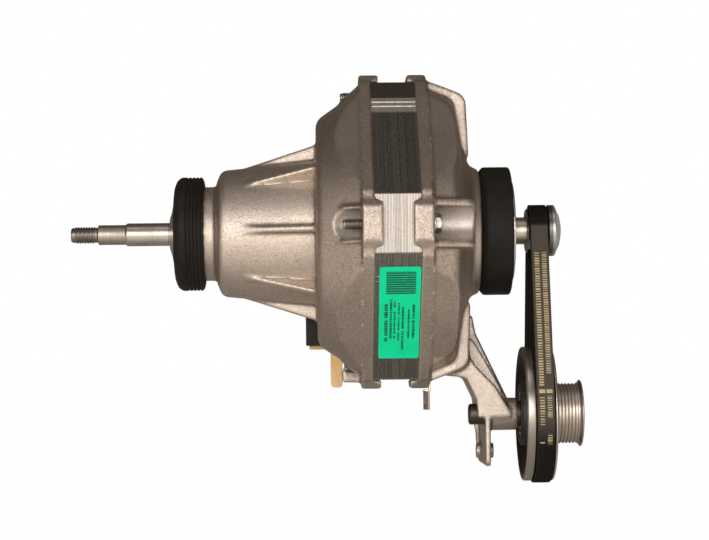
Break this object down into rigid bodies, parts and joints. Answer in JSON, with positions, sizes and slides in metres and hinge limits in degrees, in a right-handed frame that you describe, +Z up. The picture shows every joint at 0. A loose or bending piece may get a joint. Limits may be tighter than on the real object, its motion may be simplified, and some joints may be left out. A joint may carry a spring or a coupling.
{
  "type": "clothes dryer motor",
  "caption": "Tumble dryer induction motor: die-cast end bells on a square stator, rubber cradle rings, threaded fan shaft and a ribbed-belt jockey wheel drive",
  "frame": {"origin": "middle of the belt-end rubber ring, on the motor axis", "axes": "+X along the motor axis towards the belt drive, +Z up with the jockey wheel straight below, -Y the front face seen in the picture"},
  "size_m": [0.243, 0.1498, 0.1956],
  "materials": {
    "cast_aluminium": "sand-cast grain, dull",
    "lamination_steel": "stacked sheet edges",
    "slot_paper": "matt",
    "enamelled_copper": "varnished",
    "lacing_cord": "matt",
    "black_plastic": "satin",
    "amber_plastic": "satin",
    "black_rubber": "matt",
    "belt_rubber": "matt, fabric back",
    "zinc_sheet": "zinc plated",
    "zinc_bolt": "zinc plated",
    "green_label": "satin film",
    "tinned_brass": "tinned",
    "bearing_steel": "ground",
    "ball_steel": "polished",
    "cage_brass": "pressed",
    "spring_steel": "oiled",
    "turned_steel": "turned and ground",
    "pulley_steel": "turned",
    "cast_iron_wheel": "dark cast, machined rim",
    "cage_aluminium": "die cast"
  },
  "bodies": {
    "housing": {"fan_end_bell": "cast_aluminium", "belt_end_bell": "cast_aluminium", "stator_core": "lamination_steel", "slot_liners": "slot_paper", "slot_windings": "enamelled_copper", "fan_side_winding": "enamelled_copper", "belt_side_winding": "enamelled_copper", "winding_lacing": "lacing_cord", "thermal_cutout": "black_plastic", "fan_end_ring": "black_rubber", "belt_end_ring": "black_rubber", "fan_end_cap": "zinc_sheet", "belt_end_cap": "zinc_sheet", "through_bolts": "zinc_bolt", "rating_label": "green_label", "terminal_block": "black_plastic", "connector_shell": "amber_plastic", "connector_pins": "tinned_brass", "earth_tab": "tinned_brass", "drive_belt": "belt_rubber", "jockey_axle": "turned_steel", "axle_circlip": "spring_steel", "preload_spring": "spring_steel", "fan_bearing_outer": "bearing_steel", "belt_bearing_outer": "bearing_steel", "wheel_bearing_inners": "bearing_steel"},
    "rotor": {"rotor_shaft": "turned_steel", "shaft_circlip": "spring_steel", "rotor_core": "lamination_steel", "rotor_cage": "cage_aluminium", "motor_pulley": "pulley_steel", "pulley_end_flange": "pulley_steel", "fan_bearing_inner": "bearing_steel", "belt_bearing_inner": "bearing_steel"},
    "wheel": {"jockey_wheel": "cast_iron_wheel", "drum_pulley": "pulley_steel", "wheel_bearing_outers": "bearing_steel"},
    "fan_cage": {"fan_bearing_balls": "ball_steel", "fan_bearing_cage": "cage_brass"},
    "belt_cage": {"belt_bearing_balls": "ball_steel", "belt_bearing_cage": "cage_brass"},
    "wheel_cages": {"wheel_bearing_balls": "ball_steel", "wheel_bearing_cages": "cage_brass"}
  },
  "joints": [
    {"name": "rotor_spin", "type": "hinge", "parent": "housing", "child": "rotor", "pos_m": [0, 0, 0], "axis": [1, 0, 0], "continuous": true},
    {"name": "wheel_spin", "type": "hinge", "parent": "housing", "child": "wheel", "pos_m": [0, 0, -0.0877], "axis": [1, 0, 0], "continuous": true},
    {"name": "fan_cage_spin", "type": "hinge", "parent": "housing", "child": "fan_cage", "pos_m": [0, 0, 0], "axis": [1, 0, 0], "continuous": true},
    {"name": "belt_cage_spin", "type": "hinge", "parent": "housing", "child": "belt_cage", "pos_m": [0, 0, 0], "axis": [1, 0, 0], "continuous": true},
    {"name": "wheel_cage_spin", "type": "hinge", "parent": "housing", "child": "wheel_cages", "pos_m": [0, 0, -0.0877], "axis": [1, 0, 0], "continuous": true}
  ],
  "couplings": [
    {"joint": "wheel_spin", "follows": "rotor_spin", "ratio": 0.33974},
    {"joint": "fan_cage_spin", "follows": "rotor_spin", "ratio": 0.36364},
    {"joint": "belt_cage_spin", "follows": "rotor_spin", "ratio": 0.38},
    {"joint": "wheel_cage_spin", "follows": "rotor_spin", "ratio": 0.20809}
  ]
}
